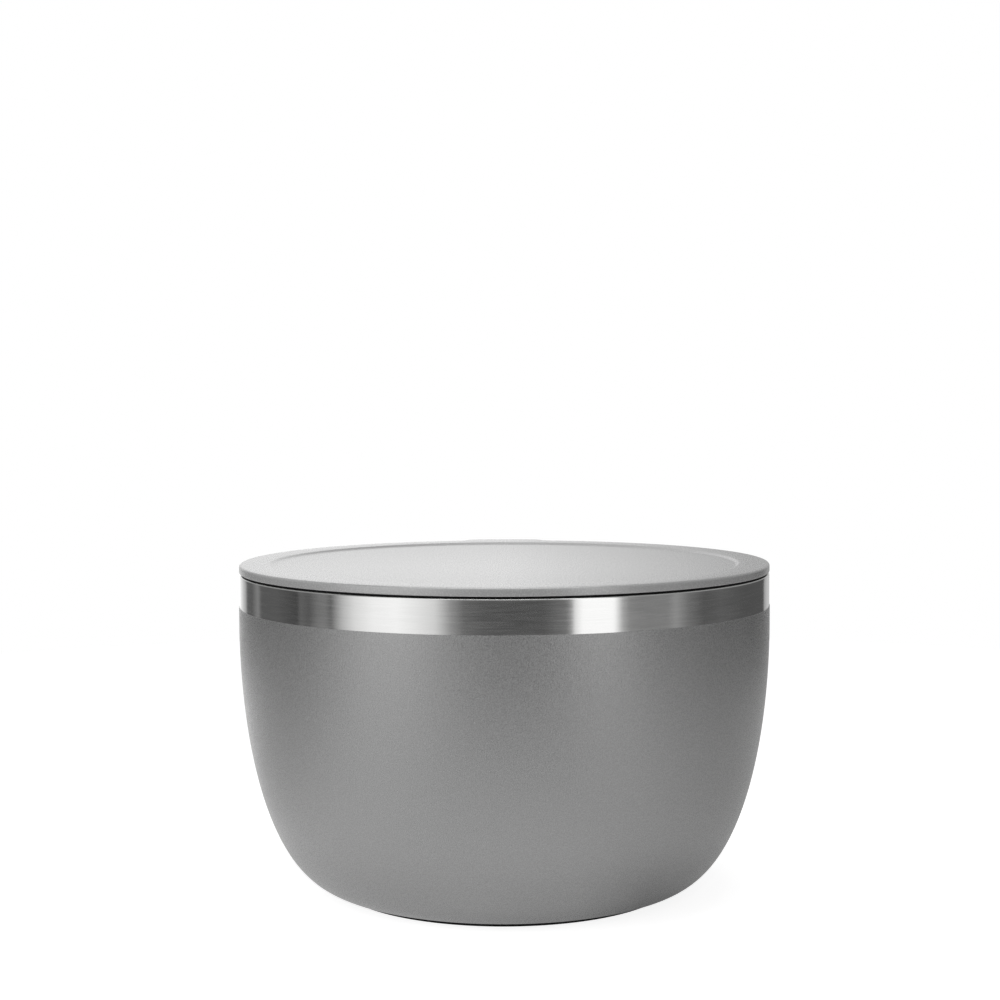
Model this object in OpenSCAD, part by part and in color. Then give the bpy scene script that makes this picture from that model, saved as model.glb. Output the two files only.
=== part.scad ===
// Insulated stainless serving bowl with a press-in lid.
// Two drawn steel shells meet at a rolled rim and hold a vacuum between them. The outer shell is closed
// by a welded pan, stands on a soft ring and is coated up to a bare steel band. The lid is a moulded cover
// with a pull tab, closed below by a liner, and a soft gasket carries it on the rim.
// All lengths are in millimetres. The origin is on the table, under the middle of the bowl, with +Z up.

/* [Body] */
// Outside diameter of the coated wall
body_d = 230; // [205:1:280]
// Height of the rim's crown above the table
rim_h = 137.7; // [115:0.1:170]
// Diameter where the coated wall ends, beside the foot ring
base_d = 146; // [120:0.5:172]
// Height of the straight wall, from the rim's crown down to where the side starts to curve in
straight_h = 21.7; // [17:0.1:30]
// Height of the bare steel band, from the rim's crown down to the edge of the coat
band_h = 13.9; // [6:0.1:20]

/* [Shells] */
// Thickness of the steel sheet of both shells and of the pan
shell_t = 0.6; // [0.4:0.05:0.8]
// Inside radius of every bend in the steel sheet
bend_r = 0.3; // [0.2:0.05:0.6]
// Height of the lip's outer leg, from its bend down to the edge of the outer shell
lip_leg_h = 1.2; // [0.8:0.1:2]
// Thickness of the textured coat
coat_t = 0.25; // [0.1:0.05:0.4]
// Width of the vacuum space in the straight wall
wall_gap = 4; // [3:0.1:5]
// Height of the floor inside the bowl
floor_h = 10; // [8.5:0.1:14]
// Diameter of the flat part of the floor inside the bowl
floor_d = 128; // [100:1:150]

/* [Base] */
// Height at which the soft ring holds the end of the coated wall off the table
foot_h = 1.4; // [0.6:0.05:2]
// Width of the soft foot ring
foot_w = 9; // [6:0.5:14]
// Depth of the step that the foot ring is seated in
foot_seat_h = 1.5; // [1.3:0.05:1.8]
// Height of the second step of the pan, from the ring's land up to the middle panel
panel_rise = 1.2; // [1:0.05:1.5]
// Diameter of the disc that covers the evacuation point
cap_d = 46; // [30:1:60]
// Thickness of that disc
cap_t = 0.5; // [0.3:0.05:0.8]
// Diameter of the dimple round the evacuation point
dimple_d = 16; // [12:0.5:20]
// Height of that dimple above the middle panel
dimple_rise = 1.5; // [1.2:0.05:1.8]
// Diameter of the evacuation hole
evac_d = 2; // [1.5:0.1:3]

/* [Getter] */
// Distance of the getter from the middle of the pan
getter_at = 38; // [30:1:45]
// Diameter of the getter tablet
getter_d = 9; // [7:0.5:11]
// Height of the getter tablet
getter_h = 1.8; // [1.2:0.1:2.1]
// Thickness of the strip that holds the tablet
strip_t = 0.4; // [0.3:0.05:0.5]
// Width of each foot of that strip
strip_foot_w = 4; // [3:0.5:6]

/* [Lid] */
// How far the lid's edge stands out past the bare band
lid_over = 0.1; // [0:0.05:2]
// Thickness of the lid at its edge
lid_t = 3.4; // [2.8:0.1:4.5]
// Radius of the lid's rounded upper edge
edge_r = 1; // [0.5:0.05:1.3]
// Radius of the lid's lower edge, which is nearly sharp
edge_low_r = 0.4; // [0.2:0.05:0.8]
// Width of the raised border of the lid
border_w = 12.6; // [10.5:0.1:16]
// Depth of the stacking recess inside that border
recess_h = 0.9; // [0.5:0.05:1.2]
// Width of the slope from the border down to the recess
slope_w = 2.2; // [1.5:0.1:3]
// Thickness of the lid's middle plate
plate_t = 2.2; // [1.6:0.1:2.6]
// Depth of the lid's skirt below the rim's crown
plug_h = 12; // [10:0.5:16]
// Space between the skirt and the wall inside the bowl
plug_gap = 2.6; // [2:0.1:3.2]
// Thickness of the skirt
skirt_t = 2; // [1.6:0.1:2.6]
// Number of stiffening ribs under the middle plate
rib_n = 12; // [6:1:18]
// Depth of those ribs
rib_h = 6; // [4:0.5:8]
// Thickness of those ribs
rib_t = 1.4; // [1:0.1:2]
// Diameter of the ring that the ribs run to
hub_d = 40; // [30:1:60]

/* [Pull tab] */
// Width of the pull tab across its outer corners
tab_w = 38; // [30:1:50]
// How far the tab stands out past the lid's edge
tab_out = 6.5; // [4:0.5:10]
// Radius of the tab's outer corners
tab_corner_r = 6; // [4:0.5:8]
// Radius of the hollows where the tab leaves the edge
tab_root_r = 8; // [5:0.5:12]
// Direction of the tab, in degrees from +X
tab_turn = 90; // [0:5:355]

/* [Liner] */
// Thickness of the liner's floor
liner_t = 1.6; // [1.2:0.1:2.2]
// Height of the liner's spigot inside the skirt
spigot_h = 3; // [2:0.5:4]
// Thickness of that spigot
spigot_t = 1.4; // [1:0.1:2]
// Radius of the liner's rounded lower edge
liner_edge_r = 1.2; // [0.8:0.1:1.4]
// Depth of the shallow panel in the liner's underside
liner_panel_h = 0.5; // [0.3:0.05:0.7]
// Width of the flat border round that panel
liner_border_w = 14; // [8:0.5:20]

/* [Gasket] */
// Thickness of the leaf that lies between the lid and the rim
leaf_t = 0.8; // [0.5:0.05:1.2]
// Thickness of the sleeve round the skirt
sleeve_t = 0.9; // [0.6:0.05:1.2]
// Height of the sleeve below the leaf
sleeve_h = 9; // [8:0.5:9.5]
// Thickness of each wiping fin at its root
fin_root_t = 1.1; // [0.8:0.05:1.4]
// Thickness of each wiping fin at its tip
fin_tip_t = 0.5; // [0.3:0.05:0.7]
// How far each fin rises from its root to its tip
fin_rise = 1; // [0.6:0.05:1.4]
// Width and depth of the bead that locks the gasket into the skirt
lock_h = 1.6; // [1.2:0.05:2]
lock_d = 0.9; // [0.6:0.05:1.2]

/* [Hidden] */

// Running clearance between the fins and the bowl, and slip clearance of glued and welded joints
fin_fit = 0.25;
slip_fit = 0.1;
// How far cuts and joined pieces run past each other
overrun = 1;

// Shares that shape the side: how far out and up the lower pull of the curve lies, and how far down the upper one
low_out_share = 0.72;
low_up_share = 0.0303;
high_down_share = 0.44;
// The same pull for the floor inside, where the curve leaves the flat floor level
floor_out_share = 0.68;
// Places of the two wiping fins, as shares of the sleeve's height down from the leaf
fin_shares = [0.38, 0.78];
// Place of the locking bead, as a share of the sleeve's height
lock_share = 0.55;
// Size of the sealing drop in the dimple, as a share of the dimple's diameter
drop_share = 0.4;

// Counts of steps
curve_steps = 28;
bend_steps = 5;
edge_steps = 4;
tab_steps = 7;
round_steps = 64;
$fn = 180;

// Radii of the bowl, from outside in
wall_r = body_d / 2;
steel_r = wall_r - coat_t;
mouth_r = steel_r - shell_t - wall_gap - shell_t;
foot_r = base_d / 2;
bend_out_r = bend_r + shell_t;
bend_mid_r = bend_r + shell_t / 2;

// Heights of the bowl
curve_z = rim_h - straight_h;
joint_z = rim_h - bend_out_r - lip_leg_h;
coat_z = rim_h - band_h;

// The weld between the outer shell and the pan is a ring just outside the end of the wall
weld_r = foot_r + shell_t / 2;
flange_z = foot_h + coat_t;
land_z = flange_z + foot_seat_h;
panel_z = land_z + panel_rise;
land_mid_z = land_z + shell_t / 2;
panel_mid_z = panel_z + shell_t / 2;
dimple_mid_z = panel_mid_z + dimple_rise;
ring_out_r = weld_r - shell_t - slip_fit;
ring_in_r = ring_out_r - foot_w;

// Heights and radii of the lid
lid_r = steel_r + lid_over;
lid_z = rim_h + leaf_t;
lid_top_z = lid_z + lid_t;
recess_z = lid_top_z - recess_h;
plate_z = recess_z - plate_t;
plug_r = mouth_r - plug_gap;
skirt_in_r = plug_r - skirt_t;
skirt_z = rim_h - plug_h;
border_in_r = lid_r - border_w;
recess_r = border_in_r - slope_w;
border_foot_r = plug_r - skirt_t / 2;
crown_out_r = steel_r - bend_out_r;

// Small functions on vectors and paths
function unit(v) = v / norm(v);
function left_of(way) = unit([-way.y, way.x]);
function turned(v, angle) = [v.x * cos(angle) - v.y * sin(angle), v.x * sin(angle) + v.y * cos(angle)];
function polar(r, angle) = [r * cos(angle), r * sin(angle)];
function reversed(list) = [for (i = [len(list) - 1:-1:0]) list[i]];
function arc(centre, r, from, to, steps) =
    [for (i = [0:steps]) centre + polar(r, from + (to - from) * i / steps)];

// A cubic curve through p[0] and p[3], pulled towards p[1] and p[2], and its direction
function curve_point(p, t) =
    pow(1 - t, 3) * p[0] + 3 * t * pow(1 - t, 2) * p[1] + 3 * t * t * (1 - t) * p[2] + pow(t, 3) * p[3];
function curve_way(p, t) =
    pow(1 - t, 2) * (p[1] - p[0]) + 2 * t * (1 - t) * (p[2] - p[1]) + t * t * (p[3] - p[2]);

// The same curve, moved in by a distance square to itself
function curve_inside(p, inset) =
    [for (i = [0:curve_steps]) let (t = i / curve_steps) curve_point(p, t) + inset * left_of(curve_way(p, t))];

// A path moved to its left, with its corners mitred
function beside(path, d) =
    let (last = len(path) - 1)
    [for (i = [0:last])
        let (
            before = left_of(path[max(i, 1)] - path[max(i, 1) - 1]),
            after = left_of(path[min(i, last - 1) + 1] - path[min(i, last - 1)])
        )
        path[i] + d * (before + after) / (1 + before * after)];

// The outline of a sheet whose middle follows a path
function sheet(path, t) = concat(beside(path, -t / 2), reversed(beside(path, t / 2)));

// A path whose corners are bent to a radius
function bend_at(a, b, c, r) =
    let (
        back = unit(a - b),
        ahead = unit(c - b),
        half = acos(back * ahead) / 2,
        side = cross(b - a, c - b) > 0 ? 1 : -1,
        centre = b + unit(back + ahead) * r / sin(half),
        start = b + back * r / tan(half)
    )
    [for (i = [0:bend_steps]) centre + turned(start - centre, side * (180 - 2 * half) * i / bend_steps)];
function bent(path, r) =
    let (last = len(path) - 1)
    concat(
        [path[0]],
        [for (i = [1:last - 1]) each bend_at(path[i - 1], path[i], path[i + 1], r)],
        [path[last]]
    );

// The side of the bowl, from the foot up to the straight wall, as the coat's outer face
side_curve = [
    [foot_r, foot_h],
    [foot_r + low_out_share * (wall_r - foot_r), foot_h + low_up_share * (curve_z - foot_h)],
    [wall_r, curve_z - high_down_share * (curve_z - foot_h)],
    [wall_r, curve_z]
];

// The side inside the bowl, from the flat floor up to the straight wall, as the middle of the sheet
floor_curve = [
    [floor_d / 2, floor_h - shell_t / 2],
    [floor_d / 2 + floor_out_share * (mouth_r - floor_d / 2), floor_h - shell_t / 2],
    [mouth_r + shell_t / 2, curve_z - high_down_share * (curve_z - floor_h)],
    [mouth_r + shell_t / 2, curve_z]
];

// A layer of the wall between two depths below the coat's face, up to a height, cut off at the weld
module wall_layer(from, to, top_z) {
    rotate_extrude()
        difference() {
            polygon(concat(
                curve_inside(side_curve, from),
                [[wall_r - from, top_z], [wall_r - to, top_z]],
                reversed(curve_inside(side_curve, to))
            ));
            square([weld_r, land_z + shell_t]);
        }
}

module outer_shell() {
    color("silver") wall_layer(coat_t, coat_t + shell_t, joint_z);
}

module powder_coat() {
    color("dimgray") wall_layer(0, coat_t, coat_z);
}

// The inner shell turns out over the top of the wall and down again to the outer shell's edge
module inner_shell() {
    lip = bent([
        [mouth_r + shell_t / 2, curve_z],
        [mouth_r + shell_t / 2, rim_h - shell_t / 2],
        [steel_r - shell_t / 2, rim_h - shell_t / 2],
        [steel_r - shell_t / 2, joint_z]
    ], bend_mid_r);
    middle = concat(
        [[0, floor_h - shell_t / 2]],
        curve_inside(floor_curve, 0),
        [for (i = [1:len(lip) - 2]) lip[i]],
        [lip[len(lip) - 1]]
    );
    color("lightgray") rotate_extrude() polygon(sheet(middle, shell_t));
}

// The pan closes the outer shell: a turned-down flange, a land for the foot ring, a raised panel and a dimple
module base_pan() {
    middle = bent([
        [weld_r - shell_t / 2, flange_z],
        [weld_r - shell_t / 2, land_mid_z],
        [ring_in_r, land_mid_z],
        [ring_in_r - panel_rise, panel_mid_z],
        [dimple_d / 2 + dimple_rise, panel_mid_z],
        [dimple_d / 2, dimple_mid_z],
        [evac_d / 2, dimple_mid_z]
    ], bend_mid_r);
    color("silver") rotate_extrude() polygon(sheet(middle, shell_t));
}

// A bare disc glued over the evacuation point
module base_cap() {
    color("gainsboro") translate([0, 0, panel_z - cap_t]) cylinder(d = cap_d, h = cap_t);
}

// A drop of solder glass that plugs the evacuation hole from below
module evac_seal() {
    drop_r = drop_share * dimple_d / 2;
    drop_z = dimple_mid_z - shell_t / 2;
    color("darkslategray") {
        translate([0, 0, drop_z]) cylinder(d = evac_d, h = shell_t);
        translate([0, 0, drop_z - dimple_rise / 2]) cylinder(r1 = drop_r / 2, r2 = drop_r, h = dimple_rise / 2);
    }
}

// The getter tablet keeps the vacuum. It lies on the pan, held down by a bridge of thin strip
module getter_tablet() {
    color("gray") translate([getter_at, 0, panel_z + shell_t]) cylinder(d = getter_d, h = getter_h);
}

module getter_strip() {
    arm = getter_d / 2 + slip_fit;
    base_z = panel_z + shell_t;
    top_z = base_z + getter_h;
    bridge = [
        [-arm - strip_t - strip_foot_w, base_z],
        [-arm - strip_t - strip_foot_w, base_z + strip_t],
        [-arm - strip_t, base_z + strip_t],
        [-arm - strip_t, top_z + strip_t],
        [arm + strip_t, top_z + strip_t],
        [arm + strip_t, base_z + strip_t],
        [arm + strip_t + strip_foot_w, base_z + strip_t],
        [arm + strip_t + strip_foot_w, base_z],
        [arm, base_z],
        [arm, top_z],
        [-arm, top_z],
        [-arm, base_z]
    ];
    color("silver")
        translate([getter_at, strip_foot_w / 2, 0])
            rotate([90, 0, 0])
                linear_extrude(height = strip_foot_w) polygon(bridge);
}

// The soft ring that the bowl stands on, seated against the pan's flange and under its land
module foot_ring() {
    chamfer = foot_h / 3;
    color("black") rotate_extrude() polygon([
        [ring_in_r + chamfer, 0],
        [ring_out_r - chamfer, 0],
        [ring_out_r, chamfer],
        [ring_out_r, land_z - bend_r],
        [ring_out_r - bend_r, land_z],
        [ring_in_r + bend_r, land_z],
        [ring_in_r, land_z - bend_r],
        [ring_in_r, chamfer]
    ]);
}

// Half of the lid's plan, from the middle of the tab to the far side. Each entry is a point on the edge
// and the direction that is square to it there. The tab's corner and its hollow touch each other
// without a straight side between them.
function plan_half() =
    let (
        tip_r = lid_r + tab_out,
        corner_r = tip_r - tab_corner_r,
        root_r = lid_r + tab_root_r,
        reach = tab_corner_r + tab_root_r,
        corner_turn = asin((tab_w / 2 - tab_corner_r) / corner_r),
        root_turn = corner_turn
            + acos((corner_r * corner_r + root_r * root_r - reach * reach) / (2 * corner_r * root_r)),
        corner = polar(corner_r, corner_turn),
        root = polar(root_r, root_turn),
        between = atan2(root.y - corner.y, root.x - corner.x)
    )
    concat(
        [for (i = [0:tab_steps]) let (a = corner_turn * i / tab_steps) [polar(tip_r, a), polar(1, a)]],
        [for (i = [1:tab_steps])
            let (a = corner_turn + (between - corner_turn) * i / tab_steps)
            [corner + polar(tab_corner_r, a), polar(1, a)]],
        [for (i = [1:tab_steps])
            let (a = between + (root_turn - between) * i / tab_steps)
            [root - polar(tab_root_r, a), polar(1, a)]],
        [for (i = [1:round_steps])
            let (a = root_turn + (180 - root_turn) * i / round_steps)
            [polar(lid_r, a), polar(1, a)]]
    );
function mirrored(entry) = [[entry[0].x, -entry[0].y], [entry[1].x, -entry[1].y]];
plan = let (half = plan_half(), last = len(half) - 1)
    concat(half, [for (i = [last - 1:-1:1]) mirrored(half[i])]);

// The section of the lid's border at one entry of the plan, from its foot on the skirt round both edges,
// over the border and down into the recess, and back inside the plate. The edges are set in square to the
// plan, and the rest lies on circles.
function border_section(entry) =
    let (
        a = atan2(entry[0].y, entry[0].x),
        inside_z = recess_z - plate_t / 2,
        low = [for (i = [0:edge_steps]) let (e = 90 * i / edge_steps)
            [edge_low_r * (1 - sin(e)), lid_z + edge_low_r * (1 - cos(e))]],
        high = [for (i = [0:edge_steps]) let (e = 90 * i / edge_steps)
            [edge_r * (1 - cos(e)), lid_top_z - edge_r * (1 - sin(e))]]
    )
    concat(
        [[each polar(border_foot_r, a), lid_z]],
        [for (e = concat(low, high)) [each (entry[0] - e[0] * entry[1]), e[1]]],
        [[each polar(border_in_r, a), lid_top_z]],
        [[each polar(recess_r, a), recess_z]],
        [[each polar(recess_r, a), inside_z]],
        [[each polar(border_foot_r, a), inside_z]]
    );

// The lid's border with its pull tab, as one ring of sections
module lid_border() {
    sections = [for (entry = plan) border_section(entry)];
    columns = len(sections);
    per = len(sections[0]);
    points = [for (s = sections) each s];
    faces = [
        for (c = [0:columns - 1], j = [0:per - 1])
            let (
                next_c = (c + 1) % columns,
                next_j = (j + 1) % per,
                a = c * per + j,
                b = next_c * per + j,
                d = c * per + next_j,
                e = next_c * per + next_j
            )
            each [[a, e, b], [a, d, e]]
    ];
    polyhedron(points, faces, convexity = 4);
}

// The moulded cover: border and tab, middle plate, skirt with its groove, and ribs on the hidden side
module lid_cover() {
    groove_z = rim_h - lock_share * sleeve_h;
    color("dimgray") {
        rotate([0, 0, tab_turn]) lid_border();
        rotate_extrude() polygon([
            [0, recess_z],
            [plug_r, recess_z],
            [plug_r, groove_z + lock_h / 2],
            [plug_r - lock_d, groove_z + lock_h / 2],
            [plug_r - lock_d, groove_z - lock_h / 2],
            [plug_r, groove_z - lock_h / 2],
            [plug_r, skirt_z],
            [skirt_in_r, skirt_z],
            [skirt_in_r, plate_z],
            [0, plate_z]
        ]);
        for (i = [0:rib_n - 1])
            rotate([0, 0, tab_turn + 180 / rib_n + 360 * i / rib_n])
                translate([hub_d / 2 - rib_t / 2, -rib_t / 2, plate_z - rib_h])
                    cube([skirt_in_r + skirt_t / 2 - hub_d / 2 + rib_t / 2, rib_t, rib_h + plate_t / 2]);
        rotate_extrude() translate([hub_d / 2 - rib_t, plate_z - rib_h]) square([rib_t, rib_h + plate_t / 2]);
    }
}

// The liner closes the skirt from below and traps still air under the cover
module lid_liner() {
    low_z = skirt_z - liner_t;
    spigot_r = skirt_in_r - slip_fit;
    panel_r = plug_r - liner_border_w;
    color("gray") rotate_extrude() polygon(concat(
        [[0, low_z + liner_panel_h], [panel_r - liner_panel_h, low_z + liner_panel_h], [panel_r, low_z]],
        arc([plug_r - liner_edge_r, low_z + liner_edge_r], liner_edge_r, -90, 0, edge_steps),
        [
            [plug_r, skirt_z],
            [spigot_r, skirt_z],
            [spigot_r, skirt_z + spigot_h],
            [spigot_r - spigot_t, skirt_z + spigot_h],
            [spigot_r - spigot_t, skirt_z],
            [0, skirt_z]
        ]
    ));
}

// The gasket: a leaf that the lid rests on, a sleeve round the skirt, a locking bead and two wiping fins
module lid_gasket() {
    sleeve_r = plug_r + sleeve_t;
    tip_r = mouth_r - fin_fit;
    low_z = rim_h - sleeve_h;
    lock_z = rim_h - lock_share * sleeve_h;
    function fin(share) =
        let (z = rim_h - share * sleeve_h)
        [
            [sleeve_r, z + fin_root_t / 2],
            [tip_r, z + fin_rise + fin_tip_t / 2],
            [tip_r, z + fin_rise - fin_tip_t / 2],
            [sleeve_r, z - fin_root_t / 2]
        ];
    color("black") rotate_extrude() polygon(concat(
        [
            [plug_r, lid_z],
            [crown_out_r, lid_z],
            [crown_out_r, rim_h],
            [mouth_r + bend_out_r, rim_h],
            [sleeve_r, rim_h]
        ],
        fin(fin_shares[0]),
        fin(fin_shares[1]),
        [
            [sleeve_r, low_z + sleeve_t / 2],
            [sleeve_r - sleeve_t / 2, low_z],
            [plug_r, low_z],
            [plug_r, lock_z - lock_h / 2],
            [plug_r - lock_d, lock_z - lock_h / 2],
            [plug_r - lock_d, lock_z + lock_h / 2],
            [plug_r, lock_z + lock_h / 2]
        ]
    ));
}

outer_shell();
inner_shell();
powder_coat();
base_pan();
base_cap();
evac_seal();
getter_tablet();
getter_strip();
foot_ring();
lid_cover();
lid_liner();
lid_gasket();
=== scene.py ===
import math

import bmesh
import bpy
from mathutils import Matrix, Vector


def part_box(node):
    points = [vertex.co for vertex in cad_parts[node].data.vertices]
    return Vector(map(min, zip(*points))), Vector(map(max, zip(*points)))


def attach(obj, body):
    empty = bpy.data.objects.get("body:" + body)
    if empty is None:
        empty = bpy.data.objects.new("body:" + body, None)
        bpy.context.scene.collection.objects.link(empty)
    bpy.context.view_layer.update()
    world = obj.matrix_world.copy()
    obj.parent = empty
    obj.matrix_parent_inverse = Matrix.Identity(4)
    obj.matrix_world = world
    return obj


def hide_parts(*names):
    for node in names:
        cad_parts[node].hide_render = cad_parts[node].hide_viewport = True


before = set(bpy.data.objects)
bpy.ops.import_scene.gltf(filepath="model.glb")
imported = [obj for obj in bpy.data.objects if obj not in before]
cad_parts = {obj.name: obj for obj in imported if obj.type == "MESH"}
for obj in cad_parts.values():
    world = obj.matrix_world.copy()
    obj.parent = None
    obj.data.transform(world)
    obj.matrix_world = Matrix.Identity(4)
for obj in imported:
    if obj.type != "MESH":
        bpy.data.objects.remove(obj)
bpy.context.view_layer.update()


# Camera
# A product camera stands in front of the bowl, a little above its lid, and looks slightly down.
# The lens, its place and its slight roll were fitted to the photograph, in metres and degrees.
CAMERA_PLACE = (-0.00173, -0.8562, 0.2188)
CAMERA_PITCH = 3.359
CAMERA_ROLL = -0.21
SENSOR_WIDTH = 36.0
FOCAL_SHARE = 1.9674  # focal length as a share of the picture's width

camera_data = bpy.data.cameras.new("camera")
camera_data.sensor_width = SENSOR_WIDTH
camera_data.lens = FOCAL_SHARE * SENSOR_WIDTH
camera = bpy.data.objects.new("camera", camera_data)
camera.matrix_world = (
    Matrix.Translation(CAMERA_PLACE)
    @ Matrix.Rotation(math.radians(90 - CAMERA_PITCH), 4, "X")
    @ Matrix.Rotation(math.radians(CAMERA_ROLL), 4, "Z")
)
bpy.context.scene.collection.objects.link(camera)
bpy.context.scene.camera = camera


# Floor and background
# The bowl stands on a plain white table in front of a white background. Both read as white to the
# camera and in gloss, while the table still takes the bowl's shadow and gives back soft light.
FLOOR_RADIUS = 0.85
FLOOR_STEPS = 96
FLOOR_DROP = 0.00005
FLOOR_TONE = 0.8
FLOOR_GLOW = 0.85
FLOOR_SEEN_TONE = 0.5
WORLD_LIGHT = 0.2


def new_material(name):
    """A material with its Principled shader, and the tree that they are in."""
    material = bpy.data.materials.new(name)
    material.use_nodes = True
    tree = material.node_tree
    return material, tree, tree.nodes["Principled BSDF"]


def link(tree, source, output, target, socket):
    """Joins two sockets by name."""
    tree.links.new(source.outputs[output], target.inputs[socket])


def seen_directly(tree):
    """1 for rays from the camera and in gloss or glass, and 0 for light on its way to a surface."""
    path = tree.nodes.new("ShaderNodeLightPath")
    either = tree.nodes.new("ShaderNodeMath")
    either.operation = "MAXIMUM"
    link(tree, path, "Is Camera Ray", either, 0)
    link(tree, path, "Is Glossy Ray", either, 1)
    every = tree.nodes.new("ShaderNodeMath")
    every.operation = "MAXIMUM"
    link(tree, either, 0, every, 0)
    link(tree, path, "Is Transmission Ray", every, 1)
    return every


def to_object(name, bm, material, sharp_angle=40):
    """Makes an object at the origin from a finished mesh, with smooth shading between its hard edges."""
    mesh = bpy.data.meshes.new(name)
    bm.to_mesh(mesh)
    bm.free()
    mesh.shade_smooth()
    mesh.set_sharp_from_angle(angle=math.radians(sharp_angle))
    mesh.materials.append(material)
    made = bpy.data.objects.new(name, mesh)
    bpy.context.scene.collection.objects.link(made)
    return made


table_white, tree, unused = new_material("table white")
tree.nodes.remove(unused)
seen = seen_directly(tree)
matte = tree.nodes.new("ShaderNodeBsdfDiffuse")
matte.inputs["Color"].default_value = (FLOOR_TONE, FLOOR_TONE, FLOOR_TONE, 1)
seen_matte = tree.nodes.new("ShaderNodeBsdfDiffuse")
seen_matte.inputs["Color"].default_value = (FLOOR_SEEN_TONE, FLOOR_SEEN_TONE, FLOOR_SEEN_TONE, 1)
glow = tree.nodes.new("ShaderNodeEmission")
glow.inputs["Strength"].default_value = FLOOR_GLOW
bright = tree.nodes.new("ShaderNodeAddShader")
link(tree, seen_matte, 0, bright, 0)
link(tree, glow, 0, bright, 1)
choose = tree.nodes.new("ShaderNodeMixShader")
link(tree, seen, 0, choose, 0)
link(tree, matte, 0, choose, 1)
link(tree, bright, 0, choose, 2)
link(tree, choose, 0, tree.nodes["Material Output"], "Surface")

bm = bmesh.new()
bmesh.ops.create_circle(bm, cap_ends=True, radius=FLOOR_RADIUS, segments=FLOOR_STEPS)
bmesh.ops.translate(bm, verts=bm.verts, vec=(0, 0, -FLOOR_DROP))
to_object("table", bm, table_white)

world = bpy.data.worlds.new("white background")
world.use_nodes = True
bpy.context.scene.world = world
tree = world.node_tree
lit = tree.nodes["Background"]
lit.inputs["Color"].default_value = (1, 1, 1, 1)
lit.inputs["Strength"].default_value = WORLD_LIGHT
white = tree.nodes.new("ShaderNodeBackground")
white.inputs["Color"].default_value = (1, 1, 1, 1)
white.inputs["Strength"].default_value = 1.0
choose = tree.nodes.new("ShaderNodeMixShader")
link(tree, seen_directly(tree), 0, choose, 0)
link(tree, lit, 0, choose, 1)
link(tree, white, 0, choose, 2)
link(tree, choose, 0, tree.nodes["World Output"], "Surface")


# Studio
# Two upright soft lights stand left and right of the camera, and a large one hangs overhead. Gloss doesn't
# see the upright ones. Glowing paper that only gloss sees, in a ring and on the table, paints their
# reflections and the cards between them, and on the table a painted shadow round the foot.
RING_RADIUS = 0.6
RING_STEP = 5.0
PAPER_HEIGHT = 0.0006
LIGHT_RING = 0.95

# Heights on the ring, each with the least brightness there. The cards end between the middle two
RING_HEIGHTS = ((-0.05, 0), (0.13, 0), (0.27, 0.45), (1.1, 0.45))

# Brightness of the painted reflections round the ring. Directions are in degrees from the camera towards +X,
# and it fades between them
RING_GLOW = (
    # pale wall behind the bowl, and a thin gap of light between two black cards on the left
    (-180, 1.35), (-158, 1.3), (-145, 0.86), (-137, 0.48), (-134, 0.15),
    (-127, 0.14), (-120, 0.32), (-116.5, 0.14), (-103, 0.14), (-89, 0.08),
    # grey card, and the tall left light with its soft sides
    (-87, 0.18), (-82, 0.13), (-77, 0.25), (-73, 0.27), (-70.3, 0.15),
    (-64.5, 0.74), (-59, 1.14), (-51, 1.43), (-41, 1.52), (-34, 1.33), (-26, 1.05), (-20, 0.42), (-15, 0.17),
    # black card in front, then the right light, which is narrow and crisp
    (-8, 0.12), (4, 0.095), (14, 0.1), (23, 0.22), (25, 0.5), (26, 1.2), (29, 1.65),
    (41.5, 1.65), (45, 0.58), (48, 0.33),
    # grey and black cards on the right, and the wall again
    (53, 0.29), (65, 0.31), (69, 0.42), (76, 0.22), (84, 0.12),
    (95, 0.15), (112, 0.115), (137.5, 0.105), (139.5, 0.45), (147, 0.62), (163, 0.55), (180, 1.35),
)

# Brightness of the table's paper, a painted reflection of the table, in each direction, at five distances
# from the bowl's axis. Nearest the foot it is painted shade, the bowl's shadow as gloss sees it, darkest on
# the right.
PAPER_REACH = (0.074, 0.09, 0.13, 0.3, 0.6)
PAPER_REFLECTION_AND_SHADE = (
    (-180, (0.5, 0.55, 0.95, 1.1, 1.2)),
    (-140, (0.5, 0.55, 0.95, 1.15, 1.3)),
    (-110, (0.5, 0.55, 0.9, 0.65, 0.45)),
    (-85, (0.55, 0.7, 0.95, 0.65, 0.45)),
    (-65, (0.6, 0.8, 1.05, 1.0, 1.0)),
    (-45, (0.65, 0.85, 1.1, 1.1, 1.1)),
    (-10, (0.5, 0.95, 1.05, 0.8, 0.6)),
    (20, (0.35, 0.8, 1.05, 0.8, 0.6)),
    (45, (0.15, 0.4, 0.9, 1.0, 1.05)),
    (60, (0.1, 0.4, 0.8, 0.8, 0.8)),
    (90, (0.1, 0.4, 0.6, 0.55, 0.5)),
    (150, (0.1, 0.3, 0.45, 0.6, 0.6)),
    (180, (0.5, 0.55, 0.95, 1.1, 1.2)),
)


def on_ring(radius, turn, height):
    """The place at a distance from the bowl, in a direction counted in degrees from the camera towards +X."""
    angle = math.radians(turn)
    return Vector((radius * math.sin(angle), -radius * math.cos(angle), height))


def every_turn(glow_by_turn):
    """The directions of a table, with more between them wherever a step would be too long."""
    turns = []
    for (start, low), (end, high) in zip(glow_by_turn, glow_by_turn[1:]):
        steps = math.ceil((end - start) / RING_STEP)
        turns += [(start + (end - start) * i / steps, low, high, i / steps) for i in range(steps)]
    last, glow = glow_by_turn[-1]
    return turns + [(last, glow, glow, 0)]


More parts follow.
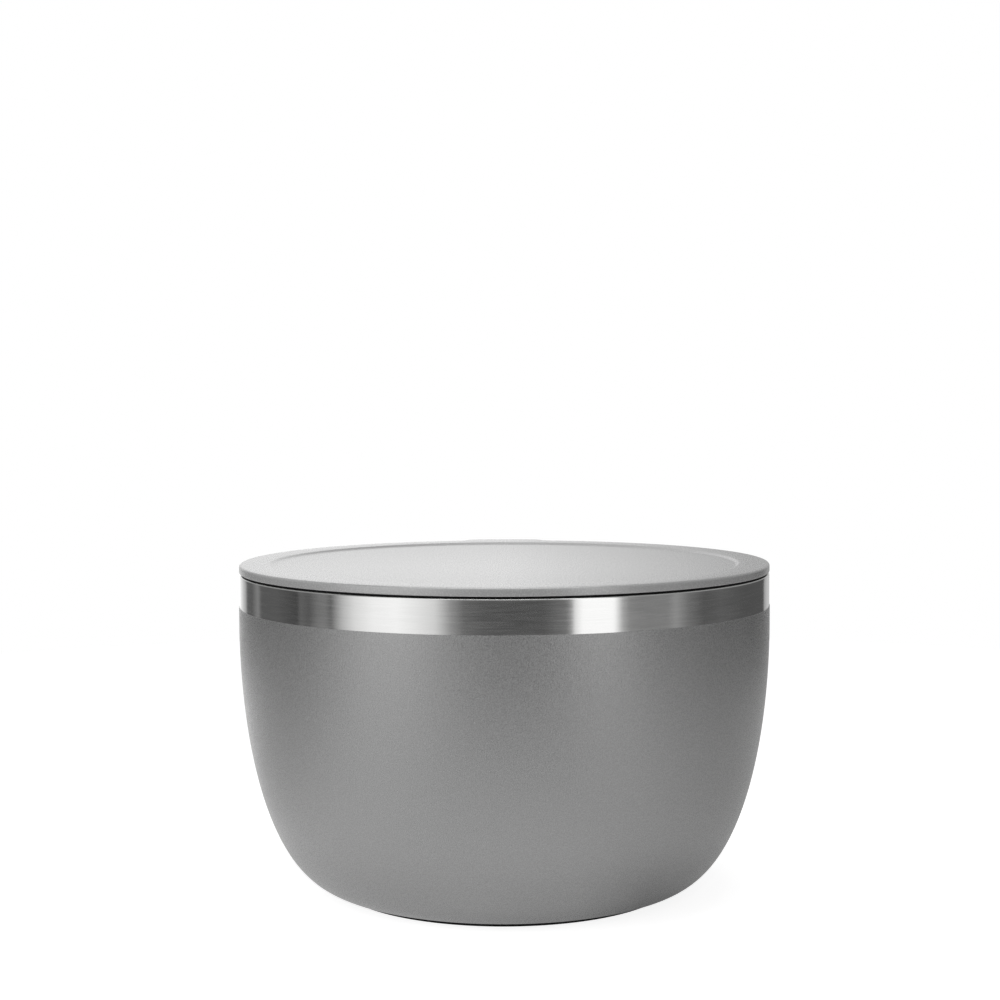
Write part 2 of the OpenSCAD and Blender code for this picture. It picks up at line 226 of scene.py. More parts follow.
def painted_reflection_sheet(name, columns):
    """Glowing paper that only gloss sees, which paints reflections, from columns of (place, brightness). Each
    place has its own brightness.
    """
    paper, tree, unused = new_material(name)
    tree.nodes.remove(unused)
    stored = tree.nodes.new("ShaderNodeAttribute")
    stored.attribute_name = "brightness"
    shine = tree.nodes.new("ShaderNodeEmission")
    link(tree, stored, "Fac", shine, "Strength")
    link(tree, shine, 0, tree.nodes["Material Output"], "Surface")
    bm = bmesh.new()
    brightness = bm.verts.layers.float.new("brightness")
    grid = []
    for column in columns:
        grid.append([bm.verts.new(place) for place, glow in column])
        for vert, (place, glow) in zip(grid[-1], column):
            vert[brightness] = glow
    for one, other in zip(grid, grid[1:]):
        for i in range(len(one) - 1):
            bm.faces.new((one[i], other[i], other[i + 1], one[i + 1]))
    sheet = to_object(name, bm, paper)
    sheet.visible_camera = False
    sheet.visible_diffuse = False
    sheet.visible_transmission = False
    sheet.visible_shadow = False


# The ring: painted reflections of the lights, the cards and the wall, seen only in gloss.
painted_reflection_sheet(
    "painted_reflection_ring",
    [
        [
            (on_ring(RING_RADIUS, turn, z), max(low + (high - low) * share, least))
            for z, least in RING_HEIGHTS
        ]
        for turn, low, high, share in every_turn(RING_GLOW)
    ],
)
# The table's paper: a painted reflection of the table, with painted shade round the foot, seen only in gloss.
painted_reflection_sheet(
    "painted_table_reflection_and_shade",
    [
        [
            (on_ring(reach, turn, PAPER_HEIGHT), low[i] + (high[i] - low[i]) * share)
            for i, reach in enumerate(PAPER_REACH)
        ]
        for turn, low, high, share in every_turn(PAPER_REFLECTION_AND_SHADE)
    ],
)

# Each light has a direction, a height, a width, a height of its own and a power in watts
LIGHTS = {
    "left_light": (-50, 0.45, 0.7, 0.9, 4.3),
    "right_light": (28, 0.45, 0.3, 0.9, 2.0),
}
TOP_LIGHT_HEIGHT = 1.3
TOP_LIGHT_SIZE = 1.0
TOP_LIGHT_POWER = 6.0
AIM = Vector((0, 0, 0.08))

for name, (turn, height, wide, tall, power) in LIGHTS.items():
    lamp = bpy.data.lights.new(name, "AREA")
    lamp.shape = "RECTANGLE"
    lamp.size = wide
    lamp.size_y = tall
    lamp.energy = power
    made = bpy.data.objects.new(name, lamp)
    made.location = on_ring(LIGHT_RING, turn, height)
    made.rotation_euler = (AIM - made.location).to_track_quat("-Z", "Y").to_euler()
    made.visible_camera = False
    made.visible_glossy = False
    bpy.context.scene.collection.objects.link(made)

lamp = bpy.data.lights.new("top_light", "AREA")
lamp.shape = "DISK"
lamp.size = TOP_LIGHT_SIZE
lamp.energy = TOP_LIGHT_POWER
made = bpy.data.objects.new("top_light", lamp)
made.location = (0, 0, TOP_LIGHT_HEIGHT)
made.visible_camera = False
bpy.context.scene.collection.objects.link(made)


# Base pan
# A pressed disc of satin steel, welded into the open bottom of the outer shell. It has a turned-down
# flange, a flat land for the foot ring, a raised panel and a dimple round the evacuation hole.
ROUND_STEPS = 240
CORNER_STEPS = 6
MERGE_WITHIN = 1e-7
SHEET = 0.0006
BEND = 0.0006
PAN_RISE = 0.0012
DIMPLE_RADIUS = 0.008
DIMPLE_RISE = 0.0015
FOOT_WIDTH = 0.009
HOLE_RADIUS = 0.001
NOISE_LOW = 0.3
NOISE_HIGH = 0.7
STEEL_WARMTH = 0.005
QUARTER_TURN = 0.25

pan_low, pan_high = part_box("base_pan")
foot_low, foot_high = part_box("foot_ring")
weld_radius = pan_high.x
land = foot_high.z
ring_outside = foot_high.x
ring_inside = ring_outside - FOOT_WIDTH


def spread_out(tree, noise):
    """A noise's value, which mostly lies near its middle, spread over 0 to 1."""
    spread = tree.nodes.new("ShaderNodeMapRange")
    spread.inputs["From Min"].default_value = NOISE_LOW
    spread.inputs["From Max"].default_value = NOISE_HIGH
    link(tree, noise, "Fac", spread, "Value")
    return spread


def brushed_grain():
    """Fine scratches that run round the Z axis, as a node group. They are noise in the direction round
    the axis, where they are long, and in the radius and height, where they are thin."""
    group = bpy.data.node_groups.new("brushed grain", "ShaderNodeTree")
    for name, value in (("Breaks round", 6.0), ("Lines per metre", 1500.0)):
        socket = group.interface.new_socket(name=name, in_out="INPUT", socket_type="NodeSocketFloat")
        socket.default_value = value
    group.interface.new_socket(name="Height", in_out="OUTPUT", socket_type="NodeSocketFloat")
    group.interface.new_socket(name="Tone", in_out="OUTPUT", socket_type="NodeSocketFloat")
    inside = group.nodes.new("NodeGroupInput")
    outside = group.nodes.new("NodeGroupOutput")
    place = group.nodes.new("ShaderNodeTexCoord")
    flat = group.nodes.new("ShaderNodeVectorMath")
    flat.operation = "MULTIPLY"
    flat.inputs[1].default_value = (1, 1, 0)
    link(group, place, "Object", flat, 0)
    radius = group.nodes.new("ShaderNodeVectorMath")
    radius.operation = "LENGTH"
    link(group, flat, 0, radius, 0)
    way = group.nodes.new("ShaderNodeVectorMath")
    way.operation = "NORMALIZE"
    link(group, flat, 0, way, 0)
    wound = group.nodes.new("ShaderNodeVectorMath")
    wound.operation = "SCALE"
    link(group, way, 0, wound, 0)
    link(group, inside, "Breaks round", wound, "Scale")
    parts = group.nodes.new("ShaderNodeSeparateXYZ")
    link(group, place, "Object", parts, 0)
    reach = group.nodes.new("ShaderNodeMath")
    reach.operation = "ADD"
    link(group, radius, "Value", reach, 0)
    link(group, parts, "Z", reach, 1)
    across = group.nodes.new("ShaderNodeMath")
    across.operation = "MULTIPLY"
    link(group, reach, 0, across, 0)
    link(group, inside, "Lines per metre", across, 1)
    stacked = group.nodes.new("ShaderNodeCombineXYZ")
    link(group, across, 0, stacked, "Z")
    joined = group.nodes.new("ShaderNodeVectorMath")
    link(group, wound, 0, joined, 0)
    link(group, stacked, 0, joined, 1)
    lines = group.nodes.new("ShaderNodeTexNoise")
    lines.inputs["Scale"].default_value = 1.0
    lines.inputs["Detail"].default_value = 3.0
    lines.inputs["Roughness"].default_value = 0.6
    link(group, joined, 0, lines, "Vector")
    link(group, lines, "Fac", outside, "Height")
    link(group, spread_out(group, lines), 0, outside, "Tone")
    return group


BRUSHED = brushed_grain()


def follow_grain(tree, shader, grain, colours, roughness, depth):
    """Colour and roughness run between two values with the grain's tone, and its height bends the normal."""
    tone = tree.nodes.new("ShaderNodeMix")
    tone.data_type = "RGBA"
    tone.inputs["A"].default_value = (*colours[0], 1)
    tone.inputs["B"].default_value = (*colours[1], 1)
    link(tree, grain, "Tone", tone, "Factor")
    link(tree, tone, "Result", shader, "Base Color")
    dull = tree.nodes.new("ShaderNodeMapRange")
    dull.inputs["To Min"].default_value = roughness[0]
    dull.inputs["To Max"].default_value = roughness[1]
    link(tree, grain, "Tone", dull, "Value")
    link(tree, dull, 0, shader, "Roughness")
    bump = tree.nodes.new("ShaderNodeBump")
    bump.inputs["Strength"].default_value = 1.0
    bump.inputs["Distance"].default_value = depth
    link(tree, grain, "Height", bump, "Height")
    link(tree, bump, 0, shader, "Normal")


def steel(name, tones, roughness, stretch, breaks_round, lines_per_metre, depth):
    """Bare steel, a little warmer than grey, with scratches round its axis that stretch its reflections."""
    material, tree, shader = new_material(name)
    grain = tree.nodes.new("ShaderNodeGroup")
    grain.node_tree = BRUSHED
    grain.inputs["Breaks round"].default_value = breaks_round
    grain.inputs["Lines per metre"].default_value = lines_per_metre
    colours = [(tone, tone, tone - STEEL_WARMTH) for tone in tones]
    follow_grain(tree, shader, grain, colours, roughness, depth)
    round_way = tree.nodes.new("ShaderNodeTangent")
    round_way.direction_type = "RADIAL"
    round_way.axis = "Z"
    link(tree, round_way, 0, shader, "Tangent")
    shader.inputs["Metallic"].default_value = 1.0
    shader.inputs["Anisotropic"].default_value = stretch
    shader.inputs["Anisotropic Rotation"].default_value = QUARTER_TURN
    return material


def lathe(name, outline, material, closed=True, sharp_angle=40):
    """Spins an outline of (radius, height, cut) points round the Z axis. A cut rounds its corner, from that
    far along both sides. An outline that isn't closed starts and ends on the axis."""
    bm = bmesh.new()
    verts = [bm.verts.new((r, 0, z)) for r, z, cut in outline]
    for a, b in zip(verts, verts[1:]):
        bm.edges.new((a, b))
    if closed:
        bm.edges.new((verts[-1], verts[0]))
    for vert, (r, z, cut) in zip(verts, outline):
        if cut:
            bmesh.ops.bevel(
                bm, geom=[vert], offset=cut, offset_type="OFFSET", segments=CORNER_STEPS, profile=0.5,
                affect="VERTICES", material=-1,
            )
    bmesh.ops.spin(
        bm, geom=bm.verts[:] + bm.edges[:], cent=(0, 0, 0), axis=(0, 0, 1), angle=math.tau, steps=ROUND_STEPS,
        use_merge=True,
    )
    bmesh.ops.remove_doubles(bm, verts=bm.verts, dist=MERGE_WITHIN)
    bmesh.ops.recalc_face_normals(bm, faces=bm.faces)
    return to_object(name, bm, material, sharp_angle)


def sheet_outline(middle, thickness):
    """The two faces of a bent sheet, as one outline, from the (radius, height, cut) points of its middle."""
    upper, lower = [], []
    for i, (r, z, cut) in enumerate(middle):
        here = Vector((r, z))
        before = here - Vector(middle[i - 1][:2]) if i else Vector(middle[1][:2]) - here
        after = Vector(middle[i + 1][:2]) - here if i + 1 < len(middle) else before
        a = Vector((-before.y, before.x)).normalized()
        b = Vector((-after.y, after.x)).normalized()
        side = (a + b) * thickness / 2 / (1 + a.dot(b))
        turning = before.x * after.y - before.y * after.x
        wide, tight = cut + thickness / 2, max(cut - thickness / 2, 0)
        upper.append((*(here + side), cut and (tight if turning > 0 else wide)))
        lower.append((*(here - side), cut and (wide if turning > 0 else tight)))
    return upper + lower[::-1]


SATIN_STEEL = steel(
    "satin steel",
    tones=(0.5, 0.58),
    roughness=(0.34, 0.42),
    stretch=0.3,
    breaks_round=3.0,
    lines_per_metre=900.0,
    depth=0.000004,
)

panel_height = land + PAN_RISE + SHEET / 2
pan = lathe(
    "steel_base_pan",
    sheet_outline(
        [
            (weld_radius - SHEET / 2, pan_low.z, 0),
            (weld_radius - SHEET / 2, land + SHEET / 2, BEND),
            (ring_inside, land + SHEET / 2, BEND / 2),
            (ring_inside - PAN_RISE, panel_height, BEND / 2),
            (DIMPLE_RADIUS + DIMPLE_RISE, panel_height, BEND / 2),
            (DIMPLE_RADIUS, panel_height + DIMPLE_RISE, BEND / 2),
            (HOLE_RADIUS, panel_height + DIMPLE_RISE, 0),
        ],
        SHEET,
    ),
    SATIN_STEEL,
)
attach(pan, "bowl")
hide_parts("base_pan")


# Base cap
# A thin bare disc, glued under the middle of the pan over the evacuation point, with a softened edge.
# Its face is turned, with finer rings than the pan's.
cap_low, cap_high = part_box("base_cap")
CAP_STEEL = steel(
    "turned cap steel",
    tones=(0.56, 0.64),
    roughness=(0.26, 0.34),
    stretch=0.5,
    breaks_round=2.0,
    lines_per_metre=2600.0,
    depth=0.000005,
)
cap = lathe(
    "steel_base_cap",
    [
        (0, cap_low.z, 0),
        (cap_high.x, cap_low.z, SHEET / 4),
        (cap_high.x, cap_high.z, 0),
        (0, cap_high.z, 0),
    ],
    CAP_STEEL,
    closed=False,
)
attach(cap, "bowl")
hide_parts("base_cap")


# Vacuum parts
# The drop of solder glass that plugs the evacuation hole, and the getter with its strip, are sealed
# inside the base. They keep the frame's own solids and get their finishes.
def clouded(name, tones, roughness, clouds_per_metre, metal=0.0):
    """A finish whose grey runs between two tones in fine clouds."""
    material, tree, shader = new_material(name)
    clouds = tree.nodes.new("ShaderNodeTexNoise")
    clouds.inputs["Scale"].default_value = clouds_per_metre
    place = tree.nodes.new("ShaderNodeTexCoord")
    link(tree, place, "Object", clouds, "Vector")
    tint = tree.nodes.new("ShaderNodeMapRange")
    tint.inputs["To Min"].default_value = tones[0]
    tint.inputs["To Max"].default_value = tones[1]
    link(tree, clouds, "Fac", tint, "Value")
    link(tree, tint, 0, shader, "Base Color")
    shader.inputs["Metallic"].default_value = metal
    shader.inputs["Roughness"].default_value = roughness
    return material


SOLDER_GLASS = clouded("solder glass", tones=(0.03, 0.09), roughness=0.12, clouds_per_metre=900.0)
SINTERED = clouded("sintered getter", tones=(0.16, 0.3), roughness=0.7, clouds_per_metre=6000.0, metal=0.6)

for node, finish in (("evac_seal", SOLDER_GLASS), ("getter_tablet", SINTERED), ("getter_strip", SATIN_STEEL)):
    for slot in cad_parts[node].material_slots:
        slot.material = finish


# Outer shell
# The drawn outer wall. Below the rim it stays bare and is brushed round the bowl, and the rest lies
# under the coat. Its upper edge meets the rolled lip of the inner shell in a ground and polished weld.
LOW_OUT_SHARE = 0.72
LOW_UP_SHARE = 0.0303
HIGH_DOWN_SHARE = 0.44
CURVE_STEPS = 90
STRAIGHT_HEIGHT = 0.0217

shell_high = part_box("outer_shell")[1]
coat_low, coat_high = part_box("powder_coat")
inner_low, inner_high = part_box("inner_shell")
wall_radius = coat_high.x
steel_radius = shell_high.x
rim_height = inner_high.z
weld_height = shell_high.z
curve_height = rim_height - STRAIGHT_HEIGHT
foot_radius = weld_radius - SHEET / 2


def side_curve(low, out, up, high, down):
    """Points and inward directions along the side, from its low end, which is pulled out and up by shares, to
    its upright top, which is pulled down by a length."""
    pulls = (
        low,
        Vector((low.x + out * (high.x - low.x), low.y + up * (high.y - low.y))),
        Vector((high.x, high.y - down)),
        high,
    )
    points = []
    for i in range(CURVE_STEPS + 1):
        t = i / CURVE_STEPS
        s = 1 - t
        place = s**3 * pulls[0] + 3 * s * s * t * pulls[1] + 3 * s * t * t * pulls[2] + t**3 * pulls[3]
        steps = [high_pull - low_pull for low_pull, high_pull in zip(pulls, pulls[1:])]
        way = s * s * steps[0] + 2 * s * t * steps[1] + t * t * steps[2]
        points.append((place, Vector((-way.y, way.x)).normalized()))
    return points


OUTSIDE = side_curve(
    Vector((foot_radius, coat_low.z)),
    LOW_OUT_SHARE,
    LOW_UP_SHARE,
    Vector((wall_radius, curve_height)),
    HIGH_DOWN_SHARE * (curve_height - coat_low.z),
)


def wall_layer(depth_out, depth_in, top):
    """The outline of one layer of the wall, between two depths below the coat's face, up to a height.
    It ends at the weld with the pan."""
    outer = [place + inward * depth_out for place, inward in OUTSIDE]
    inner = [place + inward * depth_in for place, inward in OUTSIDE]
    outer = [p for p in outer if p.x > weld_radius]
    inner = [p for p in inner if p.x > weld_radius]
    outer.insert(0, Vector((weld_radius, outer[0].y)))
    inner.insert(0, Vector((weld_radius, inner[0].y)))
    top_ends = [Vector((wall_radius - depth_out, top)), Vector((wall_radius - depth_in, top))]
    return [(p.x, p.y, 0) for p in outer + top_ends + inner[::-1]]


BAND_STEEL = steel(
    "brushed band steel",
    tones=(0.57, 0.61),
    roughness=(0.1, 0.16),
    stretch=0.9,
    breaks_round=7.0,
    lines_per_metre=1300.0,
    depth=0.000006,
)

coat_depth = wall_radius - steel_radius
band = lathe("steel_outer_shell", wall_layer(coat_depth, coat_depth + SHEET, weld_height), BAND_STEEL)
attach(band, "bowl")
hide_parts("outer_shell")


# Powder coat
# A baked coat of fine grey powder with a little metal in it, a quarter of a millimetre thick. It has
# a fine grain that glints in the lights, and ends in a crisp masked edge below the bare band.
COAT_EDGE = 0.00008


def moulded_grain():
    """An even fine grain with a little cloudiness, as a node group for coats and moulded surfaces."""
    group = bpy.data.node_groups.new("fine grain", "ShaderNodeTree")
    per_metre = group.interface.new_socket(
        name="Grains per metre", in_out="INPUT", socket_type="NodeSocketFloat"
    )
    per_metre.default_value = 1500.0
    group.interface.new_socket(name="Height", in_out="OUTPUT", socket_type="NodeSocketFloat")
    group.interface.new_socket(name="Tone", in_out="OUTPUT", socket_type="NodeSocketFloat")
    inside = group.nodes.new("NodeGroupInput")
    outside = group.nodes.new("NodeGroupOutput")
    place = group.nodes.new("ShaderNodeTexCoord")
    grain = group.nodes.new("ShaderNodeTexNoise")
    grain.inputs["Detail"].default_value = 2.0
    grain.inputs["Roughness"].default_value = 0.7
    link(group, place, "Object", grain, "Vector")
    link(group, inside, "Grains per metre", grain, "Scale")
    link(group, grain, "Fac", outside, "Height")
    link(group, spread_out(group, grain), 0, outside, "Tone")
    return group


FINE_GRAIN = moulded_grain()


def grained(name, tones, roughness, grains_per_metre, depth, metal=0.0):
    """A coated or moulded finish in plain grey, with a fine grain."""
    material, tree, shader = new_material(name)
    grain = tree.nodes.new("ShaderNodeGroup")
    grain.node_tree = FINE_GRAIN
    grain.inputs["Grains per metre"].default_value = grains_per_metre
    follow_grain(tree, shader, grain, [(tone, tone, tone) for tone in tones], roughness, depth)
    shader.inputs["Metallic"].default_value = metal
    return material


GREY_COAT = grained(
    "grey powder coat",
    tones=(0.289, 0.304),
    roughness=(0.1, 0.48),
    grains_per_metre=2200.0,
    depth=0.00011,
    metal=0.55,
)
masked_edge = (wall_radius, coat_high.z)
coat_layer = wall_layer(0, coat_depth, coat_high.z)
coat = lathe(
    "grey_powder_coat",
    [(r, z, COAT_EDGE if (r, z) == masked_edge else cut) for r, z, cut in coat_layer],
    GREY_COAT,
)
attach(coat, "bowl")
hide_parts("powder_coat")


# Inner shell
# The drawn steel bowl inside, satin with rings from turning. It is rolled out over the top of the wall as
# a flat-crowned lip, brushed like the band, whose tight outer bend ends on the outer shell's edge.
FLOOR_FLAT_RADIUS = 0.064
FLOOR_OUT_SHARE = 0.68
WALL_GAP = 0.004
LIP_BEND = 0.00035

mouth_radius = steel_radius - SHEET - WALL_GAP - SHEET
floor_middle = inner_low.z + SHEET / 2
INSIDE = side_curve(
    Vector((FLOOR_FLAT_RADIUS, floor_middle)),
    FLOOR_OUT_SHARE,
    0,
    Vector((mouth_radius + SHEET / 2, curve_height)),
    HIGH_DOWN_SHARE * (curve_height - floor_middle - SHEET / 2),
)
inner_middle = [(0, floor_middle, 0)]
inner_middle += [(place.x, place.y, 0) for place, inward in INSIDE]
inner_middle += [
    (mouth_radius + SHEET / 2, rim_height - SHEET / 2, BEND),
    (steel_radius - SHEET / 2, rim_height - SHEET / 2, LIP_BEND),
    (steel_radius - SHEET / 2, weld_height, 0),
]
INNER_STEEL = steel(
    "satin inner steel",
    tones=(0.55, 0.62),
    roughness=(0.26, 0.34),
    stretch=0.6,
    breaks_round=4.0,
    lines_per_metre=1300.0,
    depth=0.000003,
)
inner = lathe("steel_inner_shell", sheet_outline(inner_middle, SHEET), INNER_STEEL, closed=False)
inner.data.materials.append(BAND_STEEL)
for face in inner.data.polygons:
    if face.center.xy.length > mouth_radius + SHEET:
        face.material_index = 1
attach(inner, "bowl")
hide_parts("inner_shell")


# Foot ring
# A soft black ring, glued under the pan's land against the flange. The bowl stands on it, and in front
# it shows as a thin dark line.
FOOT_ROUND = 0.0004
# Painted shade: the silicone's gloss, and its tones below, are set darker than real black silicone's, so that
# the leaf in the gap under the lid and the foot line read as black as the shade there. The silicone is black
# in itself as well.
SILICONE_GLOSS_DIMMED_FOR_SHADE = 0.05

BLACK_SILICONE = grained(
    "black silicone",
    tones=(0.005, 0.01),
    roughness=(0.5, 0.62),
    grains_per_metre=2200.0,
    depth=0.00002,
)
silicone_shader = BLACK_SILICONE.node_tree.nodes["Principled BSDF"]
silicone_shader.inputs["Specular IOR Level"].default_value = SILICONE_GLOSS_DIMMED_FOR_SHADE
foot = lathe(
    "black_foot_ring",
    [
        (ring_inside, foot_low.z, FOOT_ROUND),
        (ring_outside, foot_low.z, FOOT_ROUND),
        (ring_outside, land, BEND / 2),
        (ring_inside, land, BEND / 2),
    ],
    BLACK_SILICONE,
)
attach(foot, "bowl")
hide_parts("foot_ring")


# Lid cover
# One grey moulding: a disc with a rounded edge, a raised border round a shallow stacking recess, and a
# pull tab that grows out of the edge. Below it has a skirt with a groove for the gasket, and stiffening ribs.
EDGE_ROUND = 0.001
LOW_EDGE_ROUND = 0.0004
BORDER_WIDTH = 0.0126
SLOPE_WIDTH = 0.0022
RECESS_DEPTH = 0.0009
PLATE_THICKNESS = 0.0022
SKIRT_THICKNESS = 0.002
GROOVE_WIDTH = 0.0016
GROOVE_DEPTH = 0.0009
GROOVE_SHARE = 0.55
RIB_COUNT = 12
RIB_DEPTH = 0.006
RIB_THICKNESS = 0.0014
HUB_RADIUS = 0.02
HUB_STEPS = 72
TAB_WIDTH = 0.038
TAB_CORNER_RADIUS = 0.006
TAB_ROOT_RADIUS = 0.008
TAB_TURN = 90.0
TAB_STEPS = 14
RIM_STEPS = 110
EDGE_STEPS = 6
SLOPE_STEPS = 8

lid_low, lid_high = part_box("lid_cover")
liner_low, liner_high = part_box("lid_liner")
gasket_low, gasket_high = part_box("lid_gasket")
lid_radius = lid_high.x
lid_top = lid_high.z
lid_under = gasket_high.z
tab_reach = lid_high.y
recess_height = lid_top - RECESS_DEPTH
plate_under = recess_height - PLATE_THICKNESS
skirt_radius = liner_high.x
skirt_inside = skirt_radius - SKIRT_THICKNESS
border_inside = lid_radius - BORDER_WIDTH
recess_radius = border_inside - SLOPE_WIDTH
groove_middle = rim_height - GROOVE_SHARE * (rim_height - gasket_low.z)


def arc(centre, radius, start, end, steps, hollow=False):
    """Points on an arc, each with the direction that faces out of the lid there."""
    points = []
    for i in range(1, steps + 1):
        angle = start + (end - start) * i / steps
        way = Vector((math.cos(angle), math.sin(angle)))
        points.append((centre - way * radius if hollow else centre + way * radius, way))
    return points


def lid_plan():
    """The lid's edge seen from above, once round, from the middle of the tab, which lies on +X here."""
    corner_at = tab_reach - TAB_CORNER_RADIUS
    root_at = lid_radius + TAB_ROOT_RADIUS
    reach = TAB_CORNER_RADIUS + TAB_ROOT_RADIUS
    corner_turn = math.asin((TAB_WIDTH / 2 - TAB_CORNER_RADIUS) / corner_at)
    root_turn = corner_turn + math.acos((corner_at**2 + root_at**2 - reach**2) / (2 * corner_at * root_at))
    corner = Vector((math.cos(corner_turn), math.sin(corner_turn))) * corner_at
    root = Vector((math.cos(root_turn), math.sin(root_turn))) * root_at
    between = math.atan2(root.y - corner.y, root.x - corner.x)
    origin = Vector((0, 0))
    half = arc(origin, tab_reach, 0, corner_turn, TAB_STEPS)
    half += arc(corner, TAB_CORNER_RADIUS, corner_turn, between, TAB_STEPS)
    half += arc(root, TAB_ROOT_RADIUS, between, root_turn, TAB_STEPS, hollow=True)
    half += arc(origin, lid_radius, root_turn, math.pi, RIM_STEPS)
    flip = Vector((1, -1))
    other_half = [(point * flip, way * flip) for point, way in half[-2::-1]]
    return [(Vector((tab_reach, 0)), Vector((1, 0))), *half, *other_half]


PLAN = lid_plan()


def on_edge(inset, height):
    """The places of a loop set in from the lid's edge."""
    return [Vector((*(point - way * inset), height)) for point, way in PLAN]


def on_circle(radius, height):
    """The places of a round loop, each in line with its point on the lid's edge."""
    return [Vector((*(point.normalized() * radius), height)) for point, way in PLAN]


def rounded_edge(height, radius, down):
    """Loops round the edge's corner, from a flat face out to the side. Down is -1 for the lower corner."""
    loops = []
    for i in range(EDGE_STEPS + 1):
        angle = math.pi / 2 * i / EDGE_STEPS
        loops.append(on_edge(radius * (1 - math.sin(angle)), height - down * radius * (1 - math.cos(angle))))
    return loops


def soft_slope():
    """Loops from the recess up to the border, level at both ends."""
    loops = []
    for i in range(SLOPE_STEPS + 1):
        share = i / SLOPE_STEPS
        rise = (1 - math.cos(math.pi * share)) / 2
        loops.append(on_circle(recess_radius + share * SLOPE_WIDTH, recess_height + rise * RECESS_DEPTH))
    return loops


LOOPS = [
    *soft_slope(),
    *rounded_edge(lid_top, EDGE_ROUND, 1),
    *rounded_edge(lid_under, LOW_EDGE_ROUND, -1)[::-1],
    on_circle(skirt_radius, lid_under),
    on_circle(skirt_radius, groove_middle + GROOVE_WIDTH / 2),
    on_circle(skirt_radius - GROOVE_DEPTH, groove_middle + GROOVE_WIDTH / 2),
    on_circle(skirt_radius - GROOVE_DEPTH, groove_middle - GROOVE_WIDTH / 2),
    on_circle(skirt_radius, groove_middle - GROOVE_WIDTH / 2),
    on_circle(skirt_radius, lid_low.z),
    on_circle(skirt_inside, lid_low.z),
    on_circle(skirt_inside, plate_under),
]

bm = bmesh.new()
number = bm.verts.layers.int.new("place on the edge")
loop = [bm.verts.new(place) for place in LOOPS[0]]
for i, vert in enumerate(loop):
    vert[number] = i
edges = [bm.edges.new((a, b)) for a, b in zip(loop, loop[1:] + loop[:1])]
bmesh.ops.contextual_create(bm, geom=edges)
for places in LOOPS[1:]:
    grown = bmesh.ops.extrude_edge_only(bm, edges=edges)["geom"]
    for vert in grown:
        if isinstance(vert, bmesh.types.BMVert):
            vert.co = places[vert[number]]
    edges = [edge for edge in grown if isinstance(edge, bmesh.types.BMEdge)]
bmesh.ops.contextual_create(bm, geom=edges)

rib_start = HUB_RADIUS - RIB_THICKNESS / 2
rib_end = skirt_inside + SKIRT_THICKNESS / 2
rib_top = plate_under + PLATE_THICKNESS / 2
rib_low = plate_under - RIB_DEPTH
hub_inside = HUB_RADIUS - RIB_THICKNESS
hub_corners = ((HUB_RADIUS, rib_low), (HUB_RADIUS, rib_top), (hub_inside, rib_top), (hub_inside, rib_low))
hub = [bm.verts.new((radius, 0, height)) for radius, height in hub_corners]
hub_edges = [bm.edges.new((a, b)) for a, b in zip(hub, hub[1:] + hub[:1])]
bmesh.ops.spin(
    bm, geom=hub + hub_edges, cent=(0, 0, 0), axis=(0, 0, 1), angle=math.tau, steps=HUB_STEPS, use_merge=True
)
for i in range(RIB_COUNT):
    rib = bmesh.ops.create_cube(bm, size=1)["verts"]
    bmesh.ops.scale(bm, verts=rib, vec=(rib_end - rib_start, RIB_THICKNESS, rib_top - rib_low))
    bmesh.ops.translate(bm, verts=rib, vec=((rib_end + rib_start) / 2, 0, (rib_top + rib_low) / 2))
    turn = Matrix.Rotation(math.tau * (i + 0.5) / RIB_COUNT, 3, "Z")
    bmesh.ops.rotate(bm, verts=rib, matrix=turn, cent=(0, 0, 0))
bmesh.ops.recalc_face_normals(bm, faces=bm.faces)
bmesh.ops.rotate(bm, verts=bm.verts, matrix=Matrix.Rotation(math.radians(TAB_TURN), 3, "Z"), cent=(0, 0, 0))

GREY_LID = grained(
    "grey moulded lid",
    tones=(0.376, 0.384),
    roughness=(0.25, 0.29),
    grains_per_metre=1900.0,
    depth=0.000006,
    metal=0.15,
)
lid = to_object("grey_lid_cover", bm, GREY_LID, sharp_angle=30)
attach(lid, "lid")
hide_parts("lid_cover")


# Lid liner
# A shallow moulded pan with a spigot, pressed and glued into the bottom of the skirt. It traps still air
# under the cover. Its lower edge is rounded, and its underside has a shallow panel inside a flat border.
SPIGOT_FIT = 0.0001
SPIGOT_THICKNESS = 0.0014
LINER_ROUND = 0.0012
LINER_PANEL_DEPTH = 0.0005
LINER_PANEL_ROUND = 0.0003
LINER_BORDER = 0.014

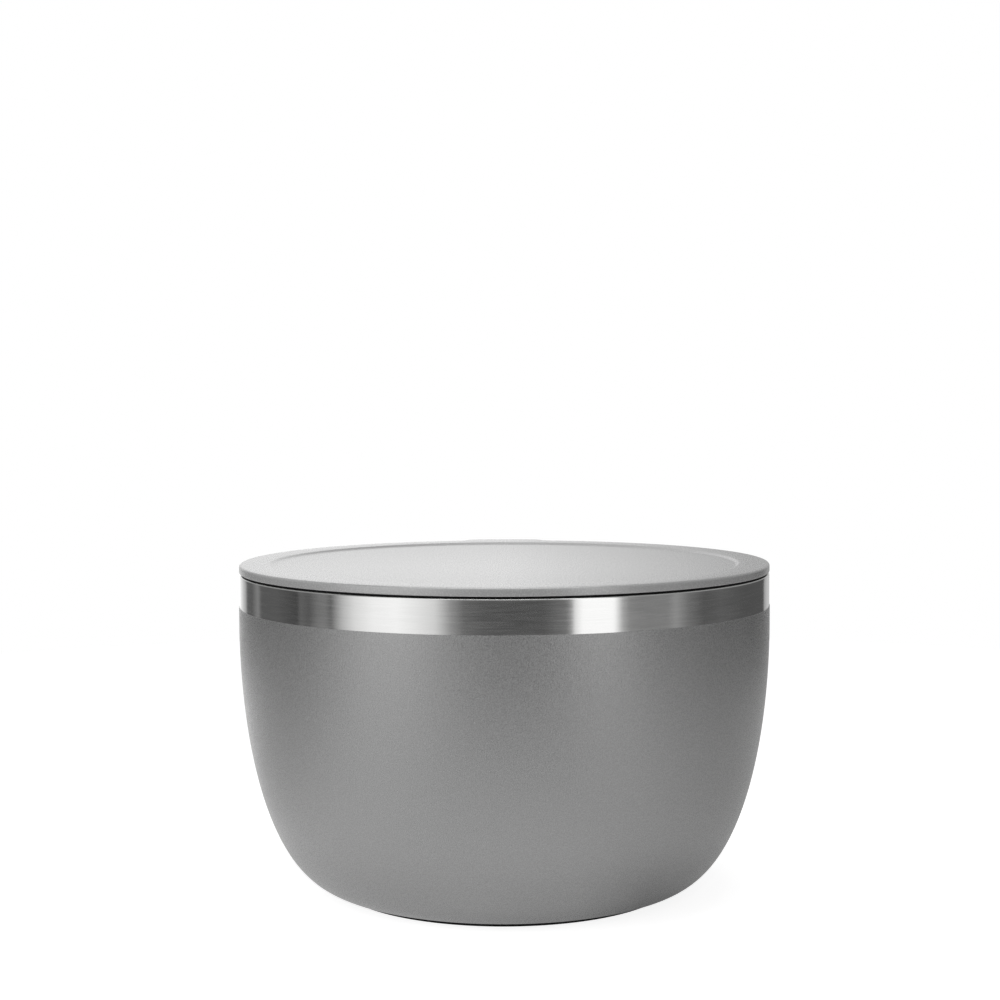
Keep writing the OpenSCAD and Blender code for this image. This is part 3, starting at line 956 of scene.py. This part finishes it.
spigot_radius = skirt_inside - SPIGOT_FIT
panel_radius = skirt_radius - LINER_BORDER
GREY_LINER = grained(
    "grey moulded liner",
    tones=(0.33, 0.36),
    roughness=(0.4, 0.48),
    grains_per_metre=1700.0,
    depth=0.00002,
)
liner = lathe(
    "grey_lid_liner",
    [
        (0, liner_low.z + LINER_PANEL_DEPTH, 0),
        (panel_radius - LINER_PANEL_DEPTH, liner_low.z + LINER_PANEL_DEPTH, LINER_PANEL_ROUND),
        (panel_radius, liner_low.z, LINER_PANEL_ROUND),
        (skirt_radius, liner_low.z, LINER_ROUND),
        (skirt_radius, lid_low.z, 0),
        (spigot_radius, lid_low.z, 0),
        (spigot_radius, liner_high.z, SPIGOT_FIT),
        (spigot_radius - SPIGOT_THICKNESS, liner_high.z, SPIGOT_FIT),
        (spigot_radius - SPIGOT_THICKNESS, lid_low.z, 0),
        (0, lid_low.z, 0),
    ],
    GREY_LINER,
    closed=False,
)
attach(liner, "lid")
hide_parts("lid_liner")


# Lid gasket
# A black silicone ring, locked into the skirt's groove by a bead. Its leaf lies between the lid and the
# rim and shows as the black line, partly its own black and partly painted shade, and two thin fins wipe the
# wall inside the mouth.
SLEEVE_THICKNESS = 0.0009
FIN_ROOT = 0.0011
FIN_TIP = 0.0005
FIN_RISE = 0.001
FIN_FIT = 0.00025
FIN_SHARES = (0.38, 0.78)
GASKET_SOFT = 0.00012

sleeve_radius = skirt_radius + SLEEVE_THICKNESS
fin_radius = mouth_radius - FIN_FIT
sleeve_height = rim_height - gasket_low.z
outline = [
    (skirt_radius, gasket_high.z, 0),
    (gasket_high.x, gasket_high.z, GASKET_SOFT),
    (gasket_high.x, rim_height, GASKET_SOFT),
    (sleeve_radius, rim_height, 0),
]
for share in FIN_SHARES:
    root = rim_height - share * sleeve_height
    outline += [
        (sleeve_radius, root + FIN_ROOT / 2, GASKET_SOFT),
        (fin_radius, root + FIN_RISE + FIN_TIP / 2, GASKET_SOFT),
        (fin_radius, root + FIN_RISE - FIN_TIP / 2, GASKET_SOFT),
        (sleeve_radius, root - FIN_ROOT / 2, GASKET_SOFT),
    ]
outline += [
    (sleeve_radius, gasket_low.z, SLEEVE_THICKNESS / 2),
    (skirt_radius, gasket_low.z, 0),
    (skirt_radius, groove_middle - GROOVE_WIDTH / 2, 0),
    (skirt_radius - GROOVE_DEPTH, groove_middle - GROOVE_WIDTH / 2, 0),
    (skirt_radius - GROOVE_DEPTH, groove_middle + GROOVE_WIDTH / 2, 0),
    (skirt_radius, groove_middle + GROOVE_WIDTH / 2, 0),
]
gasket = lathe("black_lid_gasket", outline, BLACK_SILICONE, sharp_angle=30)
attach(gasket, "lid")
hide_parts("lid_gasket")


# View
# The picture is shown as it is lit.
bpy.context.scene.view_settings.view_transform = "Standard"
